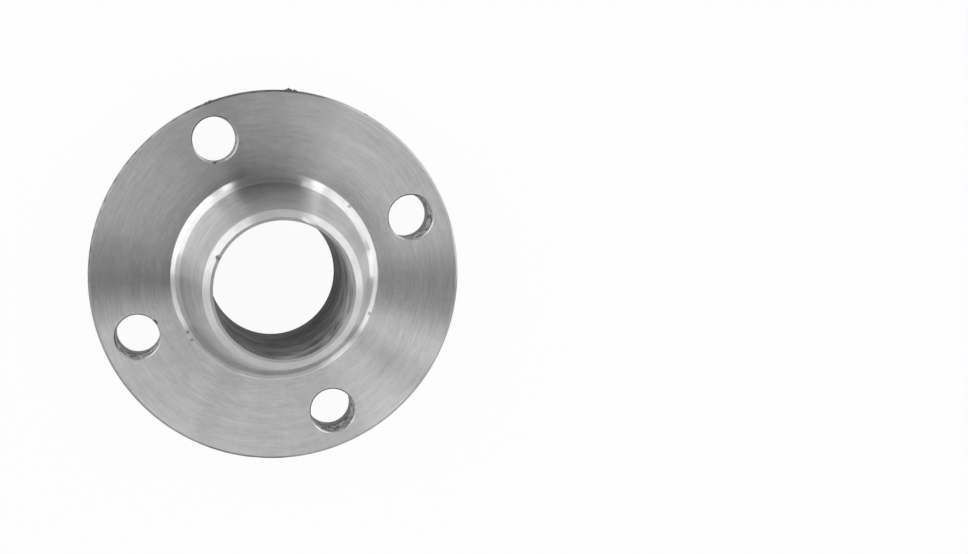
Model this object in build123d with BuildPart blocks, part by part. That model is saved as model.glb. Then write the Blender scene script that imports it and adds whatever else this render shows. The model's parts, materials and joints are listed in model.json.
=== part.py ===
from build123d import *
from math import radians, tan
import os

# Welding-neck pipe flange with a raised tongue on its mating face, forged, turned and drilled
# from one piece. Sizes are in millimetres. The flange lies on its tongue with the neck up: the
# origin is on the bore's axis, at the level of the tongue's end face, and +Z runs up the neck.

# Pipe and weld end
bore_diameter = 52.3
weld_end_wall = 4.0
weld_land = 1.2
bevel_angle = 37.5
length_through_neck = 64.0

# Flange plate
plate_thickness = 19.5
rim_chamfer = 0.9

# Tongue, a ring that stands proud of the mating face
inner_face_width = 10.35
tongue_width = 9.55
tongue_height = 6.35
tongue_edge_break = 0.4
tongue_corner_radius = 0.5

# Bolt holes, which straddle the X and Y axes
bolt_hole_diameter = 18.0
bolt_hole_count = 4
first_bolt_hole_angle = 45.0
tongue_to_hole_gap = 5.2
hole_to_rim_gap = 5.75
hole_edge_break = 0.5

# Neck root, a shallow foot and a steeper shoulder that lead from the plate up to the neck's taper
root_to_hole_gap = 9.2
root_foot_width = 1.9
root_foot_slope = 24.0
root_shoulder_width = 1.9
root_shoulder_slope = 44.0
root_blend_radius = 1.2

# Mouth of the bore on the mating face
bore_edge_break = 0.6

# Radii that follow, from the bore outwards
bore_radius = bore_diameter / 2
weld_end_radius = bore_radius + weld_end_wall
bevel_inner_radius = bore_radius + weld_land
tongue_inner_radius = bore_radius + inner_face_width
tongue_outer_radius = tongue_inner_radius + tongue_width
bolt_circle_radius = tongue_outer_radius + tongue_to_hole_gap + bolt_hole_diameter / 2
rim_radius = bolt_circle_radius + bolt_hole_diameter / 2 + hole_to_rim_gap
root_foot_radius = bolt_circle_radius - bolt_hole_diameter / 2 - root_to_hole_gap
root_middle_radius = root_foot_radius - root_foot_width
root_top_radius = root_middle_radius - root_shoulder_width

# Heights that follow, from the tongue's end face upwards
mating_face_height = tongue_height
bolting_face_height = mating_face_height + plate_thickness
root_middle_height = bolting_face_height + root_foot_width * tan(radians(root_foot_slope))
root_top_height = root_middle_height + root_shoulder_width * tan(radians(root_shoulder_slope))
weld_end_height = mating_face_height + length_through_neck
bevel_depth = (weld_end_radius - bevel_inner_radius) * tan(radians(bevel_angle))
bevel_foot_height = weld_end_height - bevel_depth

with BuildPart() as tongue_flange:
    # Half section of the turned body, from the mating face round to the bore
    with BuildSketch(Plane.XZ):
        with BuildLine():
            Polyline(
                (bore_radius, mating_face_height),
                (tongue_inner_radius, mating_face_height),
                (tongue_inner_radius, 0),
                (tongue_outer_radius, 0),
                (tongue_outer_radius, mating_face_height),
                (rim_radius, mating_face_height),
                (rim_radius, bolting_face_height),
                (root_foot_radius, bolting_face_height),
                (root_middle_radius, root_middle_height),
                (root_top_radius, root_top_height),
                (weld_end_radius, bevel_foot_height),
                (bevel_inner_radius, weld_end_height),
                (bore_radius, weld_end_height),
                (bore_radius, mating_face_height),
            )
        make_face()
    revolve(axis=Axis.Z)

    # Edge breaks, root blends and tool corners of the turned body
    circles = tongue_flange.edges().filter_by(GeomType.CIRCLE)
    rim_edges = circles.filter_by(lambda edge: abs(edge.radius - rim_radius) < 0.01)
    chamfer(rim_edges, rim_chamfer)

    root_circles = tongue_flange.edges().filter_by(GeomType.CIRCLE).filter_by(
        lambda edge: root_top_radius - 0.01 < edge.radius < root_foot_radius + 0.01
        and edge.arc_center.Z > bolting_face_height - 0.01
    )
    fillet(root_circles, root_blend_radius)

    tongue_circles = tongue_flange.edges().filter_by(GeomType.CIRCLE).filter_by(
        lambda edge: tongue_inner_radius - 0.01 < edge.radius < tongue_outer_radius + 0.01
        and edge.arc_center.Z < mating_face_height + 0.01
    )
    tongue_levels = tongue_circles.group_by(lambda edge: edge.arc_center.Z)
    fillet(tongue_levels[-1], tongue_corner_radius)
    tongue_tip = tongue_flange.edges().filter_by(GeomType.CIRCLE).filter_by(
        lambda edge: abs(edge.arc_center.Z) < 0.01
    )
    chamfer(tongue_tip, tongue_edge_break)

    bore_mouth = tongue_flange.edges().filter_by(GeomType.CIRCLE).filter_by(
        lambda edge: abs(edge.radius - bore_radius) < 0.01
        and abs(edge.arc_center.Z - mating_face_height) < 0.01
    )
    chamfer(bore_mouth, bore_edge_break)

    # Bolt holes, drilled through the plate from the neck side
    with BuildSketch(Plane.XY.offset(bolting_face_height)):
        with PolarLocations(bolt_circle_radius, bolt_hole_count, start_angle=first_bolt_hole_angle):
            Circle(bolt_hole_diameter / 2)
    extrude(amount=-plate_thickness, mode=Mode.SUBTRACT)
    hole_edges = tongue_flange.edges().filter_by(GeomType.CIRCLE).filter_by(
        lambda edge: abs(edge.radius - bolt_hole_diameter / 2) < 0.01
    )
    chamfer(hole_edges, hole_edge_break)

tongue_flange.part.label = "tongue_flange"

os.makedirs("parts", exist_ok=True)
export_step(tongue_flange.part, "parts/tongue_flange.step")
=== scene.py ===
import cmath
import json
import math

import bpy
import numpy as np
from mathutils import Matrix, Vector, noise


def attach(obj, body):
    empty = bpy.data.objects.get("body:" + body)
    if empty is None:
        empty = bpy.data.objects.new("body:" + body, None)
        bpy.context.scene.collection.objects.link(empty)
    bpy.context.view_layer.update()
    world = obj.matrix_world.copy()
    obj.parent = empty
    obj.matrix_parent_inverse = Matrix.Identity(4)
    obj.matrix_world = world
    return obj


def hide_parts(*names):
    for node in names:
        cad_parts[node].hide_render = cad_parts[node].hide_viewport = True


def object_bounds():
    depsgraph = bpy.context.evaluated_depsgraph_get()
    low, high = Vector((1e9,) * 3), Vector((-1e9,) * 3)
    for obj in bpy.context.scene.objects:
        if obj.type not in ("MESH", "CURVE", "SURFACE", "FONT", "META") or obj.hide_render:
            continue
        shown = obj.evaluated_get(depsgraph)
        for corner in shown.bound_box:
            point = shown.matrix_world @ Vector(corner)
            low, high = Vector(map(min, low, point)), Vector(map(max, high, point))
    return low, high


# The looks of a turned welding-neck flange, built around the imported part.
# Lengths are in millimetres and turn into metres where a mesh, lamp or camera is made.
# Angles are in degrees. An azimuth is about the bore's axis, from +X towards +Y.

MM = 0.001
NEAR = 1e-6

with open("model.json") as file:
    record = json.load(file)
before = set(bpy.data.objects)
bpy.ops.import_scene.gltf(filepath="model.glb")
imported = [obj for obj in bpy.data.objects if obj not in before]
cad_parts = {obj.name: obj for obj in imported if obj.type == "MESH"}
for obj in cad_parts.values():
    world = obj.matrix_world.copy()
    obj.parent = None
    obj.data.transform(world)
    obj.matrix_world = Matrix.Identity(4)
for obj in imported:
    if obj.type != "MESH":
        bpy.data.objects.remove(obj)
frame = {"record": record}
cad_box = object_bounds()
mounts = {mount["name"]: mount for mount in frame["record"]["mounts"]}


def stated(mount, size):
    """One stated size of a mount."""
    return mounts[mount]["dims"][size]


def height_of(mount):
    """How high a flat mount lies."""
    return mounts[mount]["pos_m"][2] / MM


# Sizes that the frame gives
BORE_RADIUS = stated("pipe_bore", "r_mm")
TONGUE_INSIDE = stated("tongue_inside", "r_mm")
TONGUE_OUTSIDE = stated("tongue", "r_mm")
BOLT_CIRCLE_RADIUS = stated("bolt_circle", "pcd_mm") / 2
HOLE_RADIUS = stated("bolt_circle", "hole_r_mm")
HOLE_COUNT = stated("bolt_circle", "count")
RIM_RADIUS = cad_box[1].x / MM
FACE_LEVEL = height_of("bolting_face")
WELD_END_LEVEL = height_of("weld_end")

# Sizes of the section between them
PLATE_THICKNESS = 19.5
MATING_LEVEL = FACE_LEVEL - PLATE_THICKNESS
RIM_CHAMFER = 0.9
HOLE_CHAMFER = 0.5
BORE_CHAMFER = 0.6
TONGUE_CORNER = 0.5
TONGUE_CHAMFER = 0.4
WELD_LAND = 1.2
WELD_END_WALL = 4.0
BEVEL_ANGLE = 37.5
ROOT_FOOT_RADIUS = 42.05
ROOT_FOOT_WIDTH = 1.9
ROOT_FOOT_SLOPE = 24.0
ROOT_SHOULDER_WIDTH = 1.9
ROOT_SHOULDER_SLOPE = 44.0
ROOT_BLEND = 1.2
FIRST_HOLE_AZIMUTH = 45.0

# The radii that its sharp edges are rounded to
EDGE_ROUNDING = 0.15
RIM_ROUNDING = 0.25
HOLE_ROUNDING = 0.12
NECK_FOOT_ROUNDING = 0.5
BEVEL_FOOT_ROUNDING = 0.2
LAND_ROUNDING = 0.1

# How finely the mesh follows the section: columns round the axis, degrees in one step of an arc, how close
# to an edge the nearest row lies, and the spacings of the rows
COLUMNS = 480
ARC_STEP = 23.0
EDGE_SUPPORT = 0.08
FLAT_SPACING = 4.0
NECK_SPACING = 5.0
BORE_SPACING = 8.0
HOLE_SPACING = 3.0
LOWER_RIM_EDGE_SPACING = 1.2
RIM_BAND_SPACING = 1.0
COLLAR_SPACING = 0.5
BEVEL_SPACING = 0.4
EDGE_SPACING = 0.3

# The widths of the finer bands beside the rim's upper edge, the neck's root and the bolt holes
RIM_BAND = 1.0
ROOT_BAND = 1.5
HOLE_COLLAR = 0.3

# The window in each face that a bolt hole is set into, and how far in each ring between the two lies
WINDOW_REACH = 12.0
WINDOW_INSIDE = BOLT_CIRCLE_RADIUS - WINDOW_REACH
WINDOW_OUTSIDE = BOLT_CIRCLE_RADIUS + WINDOW_REACH
WINDOW_SPACING = 3.0
WINDOW_COLUMNS = 16
PATCH_SHARES = (0.4, 0.75)

# Dents in the root, each with painted shade in it: azimuth, radius, height, reach, depth and how dark the
# painted shade is
DENT_LEVEL = FACE_LEVEL + 0.4
DENTS = [
    (64.9, 41.4, DENT_LEVEL, 0.8, 0.08, 0.8),
    (0.2, 41.6, DENT_LEVEL, 0.9, 0.1, 0.8),
    (-126.1, 41.6, DENT_LEVEL, 0.9, 0.12, 0.95),
    (-121.2, 42.1, DENT_LEVEL, 0.9, 0.12, 0.9),
]

# How the inner edge of the weld bevel wanders, and how far from the edge that is felt
WANDER = 0.12
WANDER_WAVES_PER_MM = 0.12
WANDER_REACH = 1.2
WANDER_DEPTH = 1.6

# A lip and a nick on that edge, with painted shade in the nick. The painted shade spills a little onto the
# bevel.
LIP_AZIMUTH = 90.0
LIP_REACH = 7.0
LIP_WIDTH = 0.55
NICK_AZIMUTH = 174.5
NICK_REACH = 2.6
NICK_WIDTH = 0.8
NICK_PAINTED_SHADE = 0.8
NICK_SPILL = 0.1

# Stretches of the rim's upper edge with painted shade, worn a little ragged: azimuth, reach and fade
WORN_RIM_WITH_PAINTED_SHADE = [(151.0, 58.0, 12.0), (283.0, 17.0, 6.0)]
RIM_WEAR = 0.25
RIM_WEAR_WAVES_PER_MM = 0.35
RIM_WEAR_INSET = 0.05
RIM_WEAR_DROP = 0.4
RIM_PAINTED_SHADE = 0.5
RIM_PAINTED_SHADE_PLAY = 0.4

# Ragged slivers: name, number of the hole or None for the rim, azimuth, span, height, thickness and stand
FLAKES = [
    ("rim_sliver_1", None, 132.1, 3.6, FACE_LEVEL - 0.6, 0.9, 1.1),
    ("rim_sliver_2", None, 106.8, 5.0, FACE_LEVEL - 0.8, 0.7, 1.5),
    ("rim_sliver_3", None, 82.2, 2.4, FACE_LEVEL - 0.8, 0.7, 0.6),
    ("hole_sliver_1", 1, -69.0, 9.0, FACE_LEVEL, 0.5, 0.5),
    ("hole_sliver_2", 2, 62.0, 15.0, FACE_LEVEL + 0.1, 0.6, 0.7),
]
FLAKE_STATIONS = 28
FLAKE_ROOT = 0.4
FLAKE_LEAST = 0.02
FLAKE_WAVES = 7


# The section

def arc_at(corner, before, after, radius):
    """The points of the arc that rounds a corner. Points are complex numbers, across + up * 1j."""
    heading_in = (corner - before) / abs(corner - before)
    heading_out = (after - corner) / abs(after - corner)
    turn = cmath.phase(heading_out / heading_in)
    if radius == 0 or abs(turn) < NEAR:
        return [corner]
    start = corner - heading_in * radius * math.tan(abs(turn) / 2)
    centre = start + heading_in * math.copysign(radius, turn) * 1j
    steps = max(2, math.ceil(abs(math.degrees(turn)) / ARC_STEP))
    return [centre + (start - centre) * cmath.exp(1j * turn * k / steps) for k in range(steps + 1)]


def run_between(start, end, spacing):
    """The points of a straight run, without its ends, with one close to each end to keep the edge crisp."""
    length = abs(end - start)
    heading = (end - start) / length
    if length < 4 * EDGE_SUPPORT:
        return []
    inside = length - 2 * EDGE_SUPPORT
    count = max(1, math.ceil(inside / spacing))
    return [start + heading * (EDGE_SUPPORT + inside * k / count) for k in range(count + 1)]


def section(corners, closed):
    """Points round a section, and the surface that each stretch between two points belongs to.

    A corner is (across, up, rounding, surface of the run that leaves it, spacing along that run).
    """
    places = [complex(corner[0], corner[1]) for corner in corners]
    arcs = []
    for i, corner in enumerate(corners):
        is_end = not closed and i in (0, len(corners) - 1)
        after = places[(i + 1) % len(places)]
        arcs.append([places[i]] if is_end else arc_at(places[i], places[i - 1], after, corner[2]))
    points, surfaces = [], []
    for i, arc in enumerate(arcs):
        surface_in, surface_out = corners[i - 1][3], corners[i][3]
        middle = (len(arc) - 1) / 2
        points += arc
        surfaces += [surface_in if k < middle else surface_out for k in range(len(arc) - 1)]
        if closed or i < len(arcs) - 1:
            run = run_between(arc[-1], arcs[(i + 1) % len(arcs)][0], corners[i][4])
            points += run
            surfaces += [surface_out] * (len(run) + 1)
    return points, surfaces


def flange_section():
    """The closed half section of the turned body, from the mating face round to the bore."""
    weld_end_radius = BORE_RADIUS + WELD_END_WALL
    bevel_radius = BORE_RADIUS + WELD_LAND
    bevel_foot = WELD_END_LEVEL - (weld_end_radius - bevel_radius) * math.tan(math.radians(BEVEL_ANGLE))
    root_middle = ROOT_FOOT_RADIUS - ROOT_FOOT_WIDTH
    root_middle_level = FACE_LEVEL + ROOT_FOOT_WIDTH * math.tan(math.radians(ROOT_FOOT_SLOPE))
    root_top = root_middle - ROOT_SHOULDER_WIDTH
    root_top_level = root_middle_level + ROOT_SHOULDER_WIDTH * math.tan(math.radians(ROOT_SHOULDER_SLOPE))
    rim_face_radius = RIM_RADIUS - RIM_CHAMFER
    rim_edge_level = FACE_LEVEL - RIM_CHAMFER
    return section(
        [
            (BORE_RADIUS + BORE_CHAMFER, MATING_LEVEL, EDGE_ROUNDING, "mating", FLAT_SPACING),
            (TONGUE_INSIDE, MATING_LEVEL, TONGUE_CORNER, "tongue", FLAT_SPACING),
            (TONGUE_INSIDE, 0, TONGUE_CHAMFER, "tongue", FLAT_SPACING),
            (TONGUE_OUTSIDE, 0, TONGUE_CHAMFER, "tongue", FLAT_SPACING),
            (TONGUE_OUTSIDE, MATING_LEVEL, TONGUE_CORNER, "mating", FLAT_SPACING),
            (WINDOW_INSIDE, MATING_LEVEL, 0, "mating", WINDOW_SPACING),
            (WINDOW_OUTSIDE, MATING_LEVEL, 0, "mating", FLAT_SPACING),
            (rim_face_radius, MATING_LEVEL, EDGE_ROUNDING, "rim_edge", LOWER_RIM_EDGE_SPACING),
            (RIM_RADIUS, MATING_LEVEL + RIM_CHAMFER, RIM_ROUNDING, "rim", FLAT_SPACING),
            (RIM_RADIUS, rim_edge_level - RIM_BAND, 0, "rim", RIM_BAND_SPACING),
            (RIM_RADIUS, rim_edge_level, RIM_ROUNDING, "rim_edge", EDGE_SPACING),
            (rim_face_radius, FACE_LEVEL, EDGE_ROUNDING, "face", FLAT_SPACING),
            (WINDOW_OUTSIDE, FACE_LEVEL, 0, "face", WINDOW_SPACING),
            (WINDOW_INSIDE, FACE_LEVEL, 0, "face", FLAT_SPACING),
            (ROOT_FOOT_RADIUS + ROOT_BAND, FACE_LEVEL, 0, "face", COLLAR_SPACING),
            (ROOT_FOOT_RADIUS, FACE_LEVEL, ROOT_BLEND, "foot", EDGE_SPACING),
            (root_middle, root_middle_level, ROOT_BLEND, "shoulder", EDGE_SPACING),
            (root_top, root_top_level, NECK_FOOT_ROUNDING, "neck", NECK_SPACING),
            (weld_end_radius, bevel_foot, BEVEL_FOOT_ROUNDING, "bevel", BEVEL_SPACING),
            (bevel_radius, WELD_END_LEVEL, LAND_ROUNDING, "land", EDGE_SPACING),
            (BORE_RADIUS, WELD_END_LEVEL, EDGE_ROUNDING, "bore", BORE_SPACING),
            (BORE_RADIUS, MATING_LEVEL + BORE_CHAMFER, EDGE_ROUNDING, "bore", BEVEL_SPACING),
        ],
        closed=True,
    )


def hole_section():
    """The open section of a bolt hole's wall, from one face through the plate to the other."""
    edge_radius = HOLE_RADIUS + HOLE_CHAMFER
    return section(
        [
            (edge_radius + HOLE_COLLAR, FACE_LEVEL, 0, "face", COLLAR_SPACING),
            (edge_radius, FACE_LEVEL, HOLE_ROUNDING, "edge", EDGE_SPACING),
            (HOLE_RADIUS, FACE_LEVEL - HOLE_CHAMFER, EDGE_ROUNDING, "hole", HOLE_SPACING),
            (HOLE_RADIUS, MATING_LEVEL + HOLE_CHAMFER, EDGE_ROUNDING, "edge", EDGE_SPACING),
            (edge_radius, MATING_LEVEL, HOLE_ROUNDING, "mating", COLLAR_SPACING),
            (edge_radius + HOLE_COLLAR, MATING_LEVEL, 0, "mating", COLLAR_SPACING),
        ],
        closed=False,
    )


# The mesh

class Body:
    """A mesh that grows ring by ring, with the surface that each face belongs to.

    It also holds, for some points, their place in a bolt hole and how much shade is painted on them.
    """

    def __init__(self):
        self.points = []
        self.faces = []
        self.surfaces = []
        self.hole_places = {}
        self.grime = {}

    def ring(self, places):
        """Adds points and returns their numbers."""
        first = len(self.points)
        self.points += places
        return list(range(first, len(self.points)))

    def bridge(self, one, other, surface, skip=()):
        """Joins two closed rings of as many points with quads."""
        for j in range(len(one)):
            if j not in skip:
                k = (j + 1) % len(one)
                self.faces.append((one[j], one[k], other[k], other[j]))
                self.surfaces.append(surface)


def turned_rows(body, points):
    """One ring of the body for each point of the section."""
    turns = [2 * math.pi * j / COLUMNS for j in range(COLUMNS)]
    rows = []
    for point in points:
        radius, height = point.real, point.imag
        rows.append(body.ring([(radius * math.cos(turn), radius * math.sin(turn), height) for turn in turns]))
    return rows


def window_rows(points, height):
    """The numbers of the rows that cross a hole's window on one face, from the inside out."""
    crossing = []
    for i, point in enumerate(points):
        in_window = WINDOW_INSIDE - NEAR < point.real < WINDOW_OUTSIDE + NEAR
        if in_window and abs(point.imag - height) < NEAR:
            crossing.append(i)
    return sorted(crossing, key=lambda i: points[i].real)


def window_rim(rows, crossing, column):
    """The grid's points round one window, anticlockwise seen from above."""
    low, high = column - WINDOW_COLUMNS, column + WINDOW_COLUMNS
    inner, outer = rows[crossing[0]], rows[crossing[-1]]
    rim = [inner[j % COLUMNS] for j in range(low, high)]
    rim += [rows[i][high % COLUMNS] for i in crossing[:-1]]
    rim += [outer[j % COLUMNS] for j in range(high, low, -1)]
    rim += [rows[i][low % COLUMNS] for i in reversed(crossing[1:])]
    return rim[::-1]


def patch(body, rim, centre, headings, radius, height, shares):
    """The rings between a window's rim and the circle round its hole, each a share of the way in."""
    rings = []
    for share in shares:
        places = []
        for number, heading in zip(rim, headings):
            x, y, _ = body.points[number]
            place = complex(x, y) * (1 - share) + (centre + heading * radius) * share
            places.append((place.real, place.imag, height))
        rings.append(body.ring(places))
    return rings


def bolt_hole(body, rows, top_rows, mating_rows, azimuth):
    """Fills one window in both faces with a bolt hole through the plate."""
    column = round(azimuth / 360 * COLUMNS)
    centre = BOLT_CIRCLE_RADIUS * cmath.exp(1j * math.radians(azimuth))
    top_rim = window_rim(rows, top_rows, column)
    mating_rim = window_rim(rows, mating_rows, column)
    headings = []
    for number in top_rim:
        x, y, _ = body.points[number]
        headings.append((complex(x, y) - centre) / abs(complex(x, y) - centre))
    wall, wall_surfaces = hole_section()

    rings = [top_rim]
    rings += patch(body, top_rim, centre, headings, wall[0].real, FACE_LEVEL, PATCH_SHARES)
    surfaces = ["face"] * len(rings)
    for point in wall:
        places = [centre + heading * point.real for heading in headings]
        ring = body.ring([(place.real, place.imag, point.imag) for place in places])
        for number, heading in zip(ring, headings):
            body.hole_places[number] = (heading.real, heading.imag, FACE_LEVEL - point.imag)
        rings.append(ring)
    surfaces += wall_surfaces + ["mating"] * (len(PATCH_SHARES) + 1)
    rings += patch(body, mating_rim, centre, headings, wall[-1].real, MATING_LEVEL, PATCH_SHARES[::-1])
    rings.append(mating_rim)
    for one, other, surface in zip(rings, rings[1:], surfaces):
        body.bridge(one, other, surface)


def build_body():
    """The whole flange as one closed mesh of quads."""
    body = Body()
    points, surfaces = flange_section()
    rows = turned_rows(body, points)
    top_rows = window_rows(points, FACE_LEVEL)
    mating_rows = window_rows(points, MATING_LEVEL)
    azimuths = [FIRST_HOLE_AZIMUTH + 360 / HOLE_COUNT * k for k in range(HOLE_COUNT)]
    in_windows = set()
    for azimuth in azimuths:
        column = round(azimuth / 360 * COLUMNS)
        in_windows |= {j % COLUMNS for j in range(column - WINDOW_COLUMNS, column + WINDOW_COLUMNS)}
    crossed = set(top_rows[1:]) | set(mating_rows[:-1])
    for i, surface in enumerate(surfaces):
        skip = in_windows if i in crossed else ()
        body.bridge(rows[i], rows[(i + 1) % len(rows)], surface, skip)
    for azimuth in azimuths:
        bolt_hole(body, rows, top_rows, mating_rows, azimuth)
    wear(body)
    return body


# The marks of use

def unevenness(x, y, waves_per_mm):
    """A slow random swing, the same at the same place each run."""
    return noise.noise(Vector((x, y, 0)) * waves_per_mm)


def dent(body, azimuth, radius, height, reach, depth, grime):
    """Presses the surface down round one spot and paints shade into it."""
    turn = math.radians(azimuth)
    spot = Vector((radius * math.cos(turn), radius * math.sin(turn), height))
    for number, point in enumerate(body.points):
        if abs(point[0] - spot.x) < reach and abs(point[1] - spot.y) < reach:
            share = 1 - (Vector(point) - spot).length_squared / reach**2
            if share > 0:
                body.points[number] = (point[0], point[1], point[2] - depth * share**2)
                body.grime[number] = max(body.grime.get(number, 0), grime * share)


def wander(body):
    """Lets the inner edge of the weld bevel run a little unevenly, with one broad lip and one nick with
    painted shade in it.
    """
    middle = BORE_RADIUS + WELD_LAND
    for number, (x, y, z) in enumerate(body.points):
        radius = math.hypot(x, y)
        away = abs(radius - middle)
        if z > WELD_END_LEVEL - WANDER_DEPTH and away < WANDER_REACH:
            turn = math.degrees(math.atan2(y, x))
            nick = max(0, 1 - abs(turn - NICK_AZIMUTH) / NICK_REACH)
            # Painted shade in the nick
            if radius < middle + NICK_SPILL:
                body.grime[number] = NICK_PAINTED_SHADE * nick
            lip = max(0, 1 - ((turn - LIP_AZIMUTH) / LIP_REACH) ** 2)
            shift = NICK_WIDTH * nick - LIP_WIDTH * lip + WANDER * unevenness(x, y, WANDER_WAVES_PER_MM)
            shift *= 1 - away / WANDER_REACH
            drop = max(0, shift) * math.tan(math.radians(BEVEL_ANGLE))
            scale = 1 + shift / radius
            body.points[number] = (x * scale, y * scale, z - drop)


def wear_rim_and_paint_shade(body):
    """Paints shade on stretches of the rim's upper edge and wears them back unevenly."""
    inside = RIM_RADIUS - RIM_CHAMFER + RIM_WEAR_INSET
    bottom = FACE_LEVEL - RIM_CHAMFER - RIM_WEAR_DROP
    for number, (x, y, z) in enumerate(body.points):
        radius = math.hypot(x, y)
        if radius > inside and z > bottom:
            turn = math.degrees(math.atan2(y, x))
            uneven = unevenness(x, y, RIM_WEAR_WAVES_PER_MM)
            for azimuth, reach, fade in WORN_RIM_WITH_PAINTED_SHADE:
                away = abs((turn - azimuth + 180) % 360 - 180)
                share = min(1, max(0, (reach - away) / fade))
                if share > 0:
                    scale = 1 - RIM_WEAR * share * max(0, uneven) / radius
                    body.points[number] = (x * scale, y * scale, z)
                    # Painted shade on the rim's edge
                    body.grime[number] = share * (RIM_PAINTED_SHADE + RIM_PAINTED_SHADE_PLAY * uneven)


def wear(body):
    """The small marks that the flange carries."""
    wander(body)
    wear_rim_and_paint_shade(body)
    for mark in DENTS:
        dent(body, *mark)


def flake(centre, radius, azimuth, span, height, thickness, stand):
    """A thin ragged sliver along the edge of a circle, as a closed body."""
    body = Body()
    rings = []
    for i in range(FLAKE_STATIONS + 1):
        share = i / FLAKE_STATIONS
        turn = math.radians(azimuth + span * (share - 0.5))
        ragged = 0.65 + 0.6 * noise.noise(Vector((share * FLAKE_WAVES, azimuth, 0)))
        swell = math.sin(math.pi * share) ** 0.5
        reach = max(FLAKE_LEAST, stand * swell * ragged)
        half = max(FLAKE_LEAST, thickness * (0.3 + 0.7 * swell) / 2)
        outline = [
            (-FLAKE_ROOT, -half),
            (reach * 0.6, -half),
            (reach, 0.2 * half),
            (reach * 0.5, half),
            (-FLAKE_ROOT, half),
        ]
        ring = []
        for out, up in outline:
            distance = radius + out
            x = centre.real + distance * math.cos(turn)
            y = centre.imag + distance * math.sin(turn)
            ring.append((x, y, height + up))
        rings.append(body.ring(ring))
    for one, other in zip(rings, rings[1:]):
        body.bridge(other, one, "flake")
    body.faces += [tuple(rings[0]), tuple(reversed(rings[-1]))]
    body.surfaces += ["flake", "flake"]
    return body


def make_mesh(name, body, materials):
    """A Blender object from a body, with one material for each surface."""
    mesh = bpy.data.meshes.new(name)
    mesh.from_pydata([tuple(c * MM for c in point) for point in body.points], [], body.faces)
    slots = list(materials)
    for surface in slots:
        mesh.materials.append(materials[surface])
    mesh.polygons.foreach_set("material_index", [slots.index(surface) for surface in body.surfaces])
    mesh.shade_smooth()
    places = np.zeros((len(body.points), 3), np.float32)
    for number, place in body.hole_places.items():
        places[number] = place
    mesh.attributes.new("hole_place", "FLOAT_VECTOR", "POINT").data.foreach_set("vector", places.ravel())
    # The painted shade that each point carries: in the dents, the nick and stretches of the rim's edge
    grime = np.zeros(len(body.points), np.float32)
    for number, share in body.grime.items():
        grime[number] = share
    mesh.attributes.new("grime", "FLOAT", "POINT").data.foreach_set("value", grime)
    made = bpy.data.objects.new(name, mesh)
    bpy.context.scene.collection.objects.link(made)
    return made


# Shader nodes

def add(tree, kind, inputs=None, **settings):
    """A new shader node. Inputs are sockets to link or plain values to set."""
    node = tree.nodes.new("ShaderNode" + kind)
    for name, value in settings.items():
        setattr(node, name, value)
    for name, value in (inputs or {}).items():
        socket = node.inputs[name]
        if isinstance(value, bpy.types.NodeSocket):
            tree.links.new(value, socket)
        else:
            socket.default_value = value
    return node


def calc(tree, operation, first, second=0.0):
    """One sum on two values."""
    return add(tree, "Math", {0: first, 1: second}, operation=operation).outputs[0]


def weighted(tree, *parts):
    """The sum of some values, each times its share."""
    terms = [calc(tree, "MULTIPLY", value, share) for value, share in parts]
    total = terms[0]
    for term in terms[1:]:
        total = calc(tree, "ADD", total, term)
    return total


def vector_calc(tree, operation, first, second=(0, 0, 0), result="Vector"):
    """One sum on two vectors. A length and a dot product come out as the result Value."""
    return add(tree, "VectorMath", {0: first, 1: second}, operation=operation).outputs[result]


def remap(tree, value, low, high, to_low, to_high):
    """Carries a value from one range to another, held at its ends."""
    inputs = {"Value": value, "From Min": low, "From Max": high, "To Min": to_low, "To Max": to_high}
    return add(tree, "MapRange", inputs).outputs["Result"]


def held(tree, attribute, result):
    """A value that the mesh holds for each point."""
    return add(tree, "Attribute", attribute_name=attribute, attribute_type="GEOMETRY").outputs[result]


def grey(tree, shade):
    """The colour with that shade in each of its parts."""
    return add(tree, "CombineColor", {0: shade, 1: shade, 2: shade}).outputs[0]


def place_parts(tree):
    """The distance from the axis and the height in millimetres, and the heading from the axis."""
    place = add(tree, "TexCoord").outputs["Object"]
    parts = add(tree, "SeparateXYZ", {0: place}).outputs
    flat = add(tree, "CombineXYZ", {0: parts[0], 1: parts[1]}).outputs[0]
    radius = vector_calc(tree, "LENGTH", flat, result="Value")
    heading = vector_calc(tree, "NORMALIZE", flat)
    return calc(tree, "MULTIPLY", radius, 1 / MM), calc(tree, "MULTIPLY", parts[2], 1 / MM), heading


def streaks(tree, across, heading, marks_per_mm, marks_round, detail=2.0, roughness=0.6):
    """Noise drawn out along the circles that a lathe tool leaves."""
    turned = vector_calc(tree, "MULTIPLY", heading, (marks_round,) * 3)
    parts = add(tree, "SeparateXYZ", {0: turned}).outputs
    cross = calc(tree, "MULTIPLY", across, marks_per_mm)
    place = add(tree, "CombineXYZ", {0: parts[0], 1: parts[1], 2: cross}).outputs[0]
    inputs = {"Vector": place, "Scale": 1.0, "Detail": detail, "Roughness": roughness}
    return add(tree, "TexNoise", inputs, noise_dimensions="3D").outputs["Fac"]


def new_material(name):
    """An empty material and its tree."""
    material = bpy.data.materials.new(name)
    material.use_nodes = True
    material.node_tree.nodes.clear()
    return material, material.node_tree


def end_in(tree, shader):
    """Makes a shader node the surface of its material."""
    tree.links.new(shader.outputs[0], add(tree, "OutputMaterial").inputs["Surface"])


# The steel

# Turning marks are of three kinds: the share of each, and how closely the broad ones and the chatter lie
FINE_SHARE = 0.56
BROAD_SHARE = 0.32
CHATTER_SHARE = 0.12
BROAD_TO_FINE = 0.25
BROAD_ROUND = 1.2
CHATTER_PER_MM = 0.06
CHATTER_ROUND = 45.0
MARKS_LOW = 0.3
MARKS_HIGH = 0.7

# The turn, as a share of a full one, that draws a highlight out across the marks
ACROSS_MARKS = 0.25

# What full painted shade leaves of the tone
DEEPEST_PAINTED_SHADE = 0.15

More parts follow.
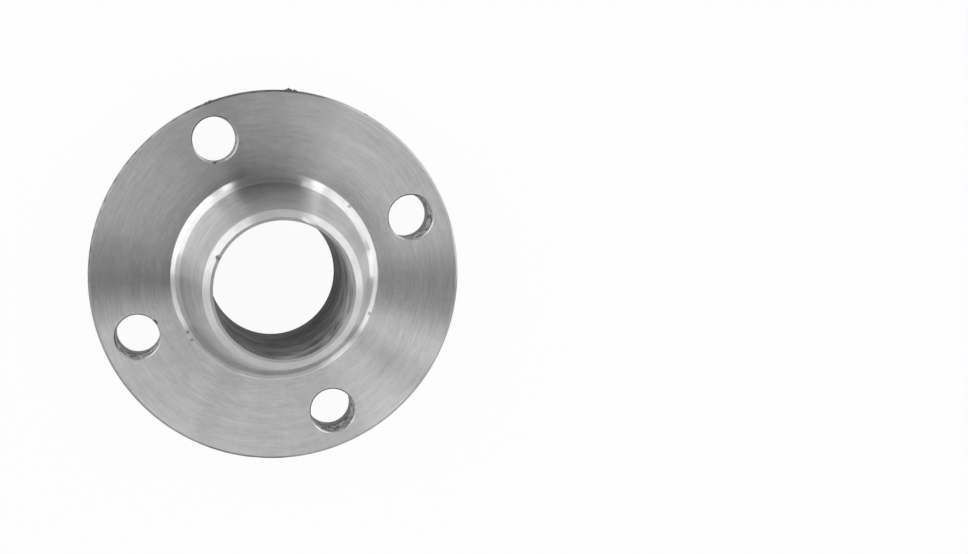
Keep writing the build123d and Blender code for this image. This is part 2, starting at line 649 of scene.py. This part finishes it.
# How closely the tears of a drilled wall lie round it and down it, and how far they differ from hole to hole
TEARS = (4.0, 4.0, 0.28)
TEARS_APART = (7.0, 7.0, 0)

# How far down a drilled wall is torn, how soon that ends, and the dark line there
TORN_DEPTH = 12.5
TORN_FADE = 0.8
LINE_DEPTH = TORN_DEPTH + 0.4
LINE_HALF_WIDTH = 0.3
LINE_FADE_TO = 1.2
LINE_SHADE = 0.3
TEAR_HEIGHT = 0.25

# The side of each bolt hole whose broken edge has painted shade, and what that painted shade leaves of the
# tone
EDGE_PAINTED_SHADE_SIDE = (-0.918, 0.396, 0.0)
EDGE_PAINTED_SHADE = 0.2

# The side on which the bore has painted light, how far down from the weld end it reaches and how much
PAINTED_LIGHT_SIDE = (0.995, 0.105, 0.0)
PAINTED_LIGHT_DEPTH = 26.0
PAINTED_LIGHT_FACTOR = 2.9

# The bore's marks run a little aslant
BORE_SLANT = (0.6, 2.2, 0)
BORE_MARK_HEIGHT = 0.06

# The gloss of the rough walls that a drill and a boring tool leave
HOLE_GLOSS = 0.1
BORE_GLOSS = 0.03


def turned_steel(
    name, tone, across, roughness, tone_play=0.1, marks_per_mm=1.0, marks_round=10.0, metallic=1.0
):
    """Steel from the lathe: reflections drawn out across fine circular marks of uneven tone."""
    material, tree = new_material(name)
    radius, height, heading = place_parts(tree)
    along = {"radius": radius, "height": height}[across]
    fine = streaks(tree, along, heading, marks_per_mm, marks_round, detail=3.0)
    broad = streaks(tree, along, heading, BROAD_TO_FINE * marks_per_mm, BROAD_ROUND)
    chatter = streaks(tree, along, heading, CHATTER_PER_MM, CHATTER_ROUND, detail=1.0)
    mixed = weighted(tree, (fine, FINE_SHARE), (broad, BROAD_SHARE), (chatter, CHATTER_SHARE))
    shade = remap(tree, mixed, MARKS_LOW, MARKS_HIGH, tone * (1 - tone_play), tone * (1 + tone_play))
    # Painted shade darkens the dents, the nick and stretches of the rim's upper edge
    shade = calc(tree, "MULTIPLY", shade, remap(tree, held(tree, "grime", "Fac"), 0, 1, 1, DEEPEST_PAINTED_SHADE))
    end_in(tree, add(tree, "BsdfPrincipled", {
        "Base Color": grey(tree, shade),
        "Metallic": metallic,
        "Roughness": roughness,
        "Anisotropic": 1.0,
        "Anisotropic Rotation": ACROSS_MARKS,
        "Tangent": add(tree, "Tangent", direction_type="RADIAL", axis="Z").outputs[0],
    }))
    return material


def drilled_steel(name, tone, roughness):
    """A drilled wall: torn and mottled down from its mouth, then a dark line, then smoother."""
    material, tree = new_material(name)
    place = held(tree, "hole_place", "Vector")
    depth = add(tree, "SeparateXYZ", {0: place}).outputs[2]
    spot = add(tree, "TexCoord").outputs["Object"]
    shift = vector_calc(tree, "MULTIPLY", spot, TEARS_APART)
    stretched = vector_calc(tree, "MULTIPLY", place, TEARS)
    apart = vector_calc(tree, "ADD", stretched, shift)
    inputs = {"Vector": apart, "Scale": 1.0, "Detail": 4.0, "Roughness": 0.65}
    torn = add(tree, "TexNoise", inputs).outputs["Fac"]
    mottled = remap(tree, torn, 0.4, 0.62, tone * 0.35, tone * 3.0)
    smooth = remap(tree, torn, 0.3, 0.7, tone * 1.2, tone * 1.7)
    deep = remap(tree, depth, TORN_DEPTH, TORN_DEPTH + TORN_FADE, 0, 1)
    shade = add(tree, "Mix", {0: deep, 2: mottled, 3: smooth}, data_type="FLOAT").outputs[0]
    from_line = calc(tree, "ABSOLUTE", calc(tree, "SUBTRACT", depth, LINE_DEPTH))
    line = remap(tree, from_line, LINE_HALF_WIDTH, LINE_FADE_TO, LINE_SHADE, 1)
    shade = calc(tree, "MULTIPLY", shade, line)
    rise = calc(tree, "MULTIPLY", torn, calc(tree, "SUBTRACT", 1.0, deep))
    bump = add(tree, "Bump", {"Height": rise, "Strength": 1.0, "Distance": TEAR_HEIGHT * MM})
    end_in(tree, add(tree, "BsdfPrincipled", {
        "Base Color": grey(tree, shade),
        "Roughness": roughness,
        "Specular IOR Level": HOLE_GLOSS,
        "Normal": bump.outputs[0],
    }))
    return material


def bored_steel(name, tone, roughness):
    """The bore's dark wall, streaked round its circumference, with painted light on one side near the weld
    end.
    """
    material, tree = new_material(name)
    _, height, heading = place_parts(tree)
    along = calc(tree, "ADD", height, vector_calc(tree, "DOT_PRODUCT", heading, BORE_SLANT, result="Value"))
    streaky = streaks(tree, along, heading, marks_per_mm=0.8, marks_round=3.0, detail=5.0, roughness=0.7)
    patchy = streaks(tree, along, heading, marks_per_mm=0.07, marks_round=1.3)
    mixed = weighted(tree, (streaky, 0.5), (patchy, 0.5))
    shade = remap(tree, mixed, 0.42, 0.61, tone * 0.15, tone * 2.9)
    # Painted light: the bore is made paler on one side, growing towards the weld end
    painted_side_facing = vector_calc(tree, "DOT_PRODUCT", heading, PAINTED_LIGHT_SIDE, result="Value")
    on_side = remap(tree, painted_side_facing, 0.1, 0.7, 0, 1)
    near_end = remap(tree, height, WELD_END_LEVEL - PAINTED_LIGHT_DEPTH, WELD_END_LEVEL, 0, 1)
    pale = calc(tree, "MULTIPLY", on_side, near_end)
    shade = calc(tree, "MULTIPLY", shade, remap(tree, pale, 0, 1, 1.0, PAINTED_LIGHT_FACTOR))
    bump = add(tree, "Bump", {"Height": streaky, "Strength": 1.0, "Distance": BORE_MARK_HEIGHT * MM})
    end_in(tree, add(tree, "BsdfPrincipled", {
        "Base Color": grey(tree, shade),
        "Roughness": roughness,
        "Specular IOR Level": BORE_GLOSS,
        "Normal": bump.outputs[0],
    }))
    return material


def edge_steel(name, tone, roughness):
    """The broken edges of the bolt holes, bright but for painted shade on one side."""
    material, tree = new_material(name)
    painted_side_facing = vector_calc(tree, "DOT_PRODUCT", held(tree, "hole_place", "Vector"), EDGE_PAINTED_SHADE_SIDE, result="Value")
    # Painted shade on one side of each hole's broken edge
    shade = remap(tree, painted_side_facing, -0.1, 0.5, tone, tone * EDGE_PAINTED_SHADE)
    end_in(tree, add(tree, "BsdfPrincipled", {
        "Base Color": grey(tree, shade),
        "Metallic": 1.0,
        "Roughness": roughness,
    }))
    return material


def plain_steel(name, tone, roughness):
    """Bare steel with no direction in its finish."""
    material, tree = new_material(name)
    end_in(tree, add(tree, "BsdfPrincipled", {
        "Base Color": (tone, tone, tone, 1),
        "Metallic": 1.0,
        "Roughness": roughness,
    }))
    return material


# The floor and the light

FLOOR_RADIUS = 6000.0
FLOOR_CORNERS = 64
FLOOR_TONE = 0.9
FLOOR_GLOW_SHARE = 0.95
WORLD_STRENGTH = 0.12
LAMP_DISTANCE = 1600.0

# Each softbox: name, the azimuths and elevations that it spans, and its radiance
SOFTBOXES = [
    ("right_low_softbox", (15, 30), (0, 10), 3.72),
    ("back_right_softbox", (26.2, 75), (5, 75), 0.82),
    ("back_low_softbox", (35, 90), (10, 20), 2.5),
    ("back_softbox", (75, 82.5), (15, 50), 1.72),
    ("back_high_softbox", (75, 116.2), (70, 80), 0.64),
    ("back_left_softbox", (135, 142.5), (25, 50), 1.99),
    ("left_softbox", (138.8, 195), (0, 50), 1.01),
    ("left_softbox_2", (150, 206.2), (35, 45), 4.52),
    ("front_left_softbox", (202.5, 240), (30, 40), 2.17),
    ("front_high_softbox", (228.8, 277.5), (60, 70), 3.12),
    ("front_softbox", (240, 288.8), (20, 30), 0.31),
    ("front_softbox_2", (277.5, 292.5), (50, 65), 1.03),
    ("front_right_softbox", (288.8, 345), (45, 75), 1.27),
    ("front_right_softbox_2", (322.5, 337.5), (40, 50), 2.65),
    ("right_softbox", (345, 356.2), (50, 60), 2.85),
    ("right_softbox_2", (345, 390), (25, 50), 1.31),
]


def floor_material():
    """White where the camera or a reflection sees it, with a faint shadow kept."""
    material, tree = new_material("floor")
    seen = add(tree, "LightPath").outputs
    shown = calc(tree, "MAXIMUM", seen["Is Camera Ray"], seen["Is Glossy Ray"])
    shown = calc(tree, "MAXIMUM", shown, seen["Is Transmission Ray"])
    white = calc(tree, "MULTIPLY", shown, FLOOR_GLOW_SHARE)
    paint = add(tree, "BsdfDiffuse", {"Color": (FLOOR_TONE, FLOOR_TONE, FLOOR_TONE, 1)}).outputs[0]
    glow = add(tree, "Emission", {"Color": (1, 1, 1, 1), "Strength": 1.0}).outputs[0]
    end_in(tree, add(tree, "MixShader", {0: white, 1: paint, 2: glow}))
    return material


def make_floor():
    """A plain pale disc that the flange stands on."""
    radius = FLOOR_RADIUS * MM
    turns = [2 * math.pi * k / FLOOR_CORNERS for k in range(FLOOR_CORNERS)]
    rim = [(radius * math.cos(turn), radius * math.sin(turn), 0) for turn in turns]
    mesh = bpy.data.meshes.new("floor")
    mesh.from_pydata(rim, [], [tuple(range(FLOOR_CORNERS))])
    mesh.materials.append(floor_material())
    floor = bpy.data.objects.new("floor", mesh)
    bpy.context.scene.collection.objects.link(floor)


def softbox(name, azimuths, elevations, radiance):
    """A rectangular lamp that faces the flange, fills a range of directions and has that radiance."""
    azimuth = math.radians(sum(azimuths) / 2)
    elevation = math.radians(sum(elevations) / 2)
    across, up = math.cos(elevation), math.sin(elevation)
    towards = Vector((math.cos(azimuth) * across, math.sin(azimuth) * across, up))
    distance = LAMP_DISTANCE * MM
    width = 2 * distance * math.tan(math.radians(azimuths[1] - azimuths[0]) / 2) * across
    height = 2 * distance * math.tan(math.radians(elevations[1] - elevations[0]) / 2)
    light = bpy.data.lights.new(name, "AREA")
    light.shape = "RECTANGLE"
    light.size, light.size_y = width, height
    light.energy = radiance * math.pi * width * height
    lamp = bpy.data.objects.new(name, light)
    lamp.location = towards * distance
    lamp.rotation_mode = "QUATERNION"
    lamp.rotation_quaternion = towards.to_track_quat("Z", "Y")
    lamp.visible_camera = False
    bpy.context.scene.collection.objects.link(lamp)


def make_world():
    """Even pale light from all round."""
    world = bpy.data.worlds.new("studio")
    world.use_nodes = True
    background = world.node_tree.nodes["Background"].inputs
    background["Color"].default_value = (1, 1, 1, 1)
    background["Strength"].default_value = WORLD_STRENGTH
    bpy.context.scene.world = world


# The camera, fitted to the photograph's outline, holes and weld end

CAMERA_PLACE = Vector((-62.02, 44.87, 588.63))
CAMERA_AIM = Vector((0.02, -0.04, 25.85))
PICTURE_TOP_AZIMUTH = 111.67
SENSOR_WIDTH = 36.0
LENS = 52.312
SHIFT_RIGHT = 0.2164


def make_camera():
    """The photograph's camera."""
    camera = bpy.data.cameras.new("camera")
    camera.sensor_width = SENSOR_WIDTH
    camera.lens = LENS
    camera.shift_x = SHIFT_RIGHT
    made = bpy.data.objects.new("camera", camera)
    back = (CAMERA_PLACE - CAMERA_AIM).normalized()
    turn = math.radians(PICTURE_TOP_AZIMUTH)
    top = Vector((math.cos(turn), math.sin(turn), 0))
    right = top.cross(back).normalized()
    turned = Matrix((right, back.cross(right), back)).transposed()
    made.matrix_world = Matrix.Translation(CAMERA_PLACE * MM) @ turned.to_4x4()
    bpy.context.scene.collection.objects.link(made)
    bpy.context.scene.camera = made


# The scene

materials = {
    "face": turned_steel("turned_face", 0.667, "radius", 0.28, tone_play=0.17),
    "mating": turned_steel("turned_mating_face", 0.58, "radius", 0.34),
    "tongue": turned_steel("turned_tongue", 0.60, "radius", 0.32),
    "rim": turned_steel("turned_rim", 0.44, "height", 0.38, marks_round=3.0),
    "rim_edge": turned_steel("turned_rim_edge", 0.50, "radius", 0.30),
    "foot": turned_steel("turned_root_foot", 0.85, "radius", 0.28),
    "shoulder": turned_steel("turned_root_shoulder", 0.79, "radius", 0.28),
    "neck": turned_steel(
        "turned_neck", 0.57, "height", 0.3, tone_play=0.24, marks_per_mm=0.6, marks_round=3.0
    ),
    "bevel": turned_steel("turned_bevel", 0.82, "radius", 0.36, metallic=0.6),
    "land": turned_steel("turned_land", 0.43, "radius", 0.3, metallic=0.4),
    "bore": bored_steel("bored_wall", 0.12, 0.5),
    "hole": drilled_steel("drilled_wall", 0.28, 0.5),
    "edge": edge_steel("hole_edge", 0.9, 0.42),
}
flange = make_mesh("turned_flange", build_body(), materials)
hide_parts("tongue_flange")
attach(flange, "root")

sliver_steel = plain_steel("sliver_steel", 0.16, 0.5)
for name, hole, azimuth, span, height, thickness, stand in FLAKES:
    if hole is None:
        centre = 0
        radius = RIM_RADIUS - RIM_CHAMFER / 2
    else:
        turn = math.radians(FIRST_HOLE_AZIMUTH + 360 / HOLE_COUNT * hole)
        centre = BOLT_CIRCLE_RADIUS * cmath.exp(1j * turn)
        radius = HOLE_RADIUS + HOLE_CHAMFER
    body = flake(centre, radius, azimuth, span, height, thickness, stand)
    sliver = make_mesh(name, body, {"flake": sliver_steel})
    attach(sliver, "root")

make_floor()
make_world()
for lamp in SOFTBOXES:
    softbox(*lamp)
make_camera()

scene = bpy.context.scene
scene.view_settings.view_transform = "Standard"

bpy.context.view_layer.update()
